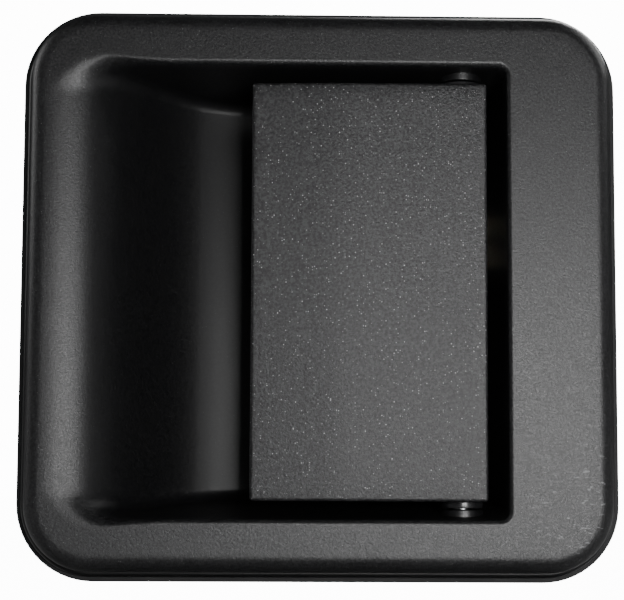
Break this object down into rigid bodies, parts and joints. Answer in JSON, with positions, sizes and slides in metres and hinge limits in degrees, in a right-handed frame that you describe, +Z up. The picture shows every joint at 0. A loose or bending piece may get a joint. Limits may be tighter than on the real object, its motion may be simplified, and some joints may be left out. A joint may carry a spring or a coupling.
{
  "type": "car door handle",
  "caption": "Flush paddle door handle: square bezel with a finger scoop, hinged pull paddle, sprung bell crank and rod clip behind.",
  "frame": {"origin": "middle of the gasket's back face, on the door skin", "axes": "+X right along the door, +Y into the door, +Z up; the visible face looks towards -Y"},
  "size_m": [0.1184, 0.0415, 0.1134],
  "materials": {
    "bezel": "grained black moulded plastic",
    "paddle": "grained black moulded plastic",
    "seal_rubber": "soft black seal",
    "zinc_steel": "bright zinc plate",
    "yellow_zinc": "yellow zinc plate",
    "pin_steel": "ground steel",
    "spring_steel": "oiled spring wire",
    "black_oxide": "blackened steel",
    "acetal": "black acetal",
    "nylon": "natural nylon"
  },
  "bodies": {
    "housing": {"bezel": "bezel", "door_gasket": "seal_rubber", "mounting_studs": "zinc_steel", "hinge_pin": "pin_steel", "hinge_clip": "black_oxide", "return_spring": "spring_steel", "back_plate": "yellow_zinc", "back_plate_screws": "black_oxide", "arm_bumper": "seal_rubber", "lever_pivot": "pin_steel", "lever_spring": "spring_steel", "lever_washer": "zinc_steel", "lever_clip": "black_oxide"},
    "paddle": {"paddle": "paddle", "hinge_bushes": "acetal", "paddle_arm": "zinc_steel", "arm_screws": "black_oxide", "arm_pad": "nylon"},
    "lever": {"release_lever": "yellow_zinc", "drive_stud": "pin_steel", "lever_bush": "acetal"},
    "rod_clip": {"rod_clip": "nylon"}
  },
  "joints": [
    {"name": "paddle_hinge", "type": "hinge", "parent": "housing", "child": "paddle", "pos_m": [0.028, -0.003, 0], "axis": [0, 0, 1], "range_deg": [0, 24], "stiffness_Nm_per_rad": 0.15, "springref_deg": -68.75, "deforming": ["return_spring"]},
    {"name": "lever_pivot", "type": "hinge", "parent": "housing", "child": "lever", "pos_m": [0.0208, 0.02, -0.01725], "axis": [0, -1, 0], "range_deg": [0, 24], "stiffness_Nm_per_rad": 0.02, "springref_deg": -45.84, "deforming": ["lever_spring"]},
    {"name": "rod_clip_swivel", "type": "hinge", "parent": "lever", "child": "rod_clip", "pos_m": [-0.0032, 0.02, -0.01725], "axis": [0, 1, 0], "range_deg": [-30, 30]}
  ],
  "couplings": [
    {"joint": "lever_pivot", "follows": "paddle_hinge", "ratio": 1}
  ]
}
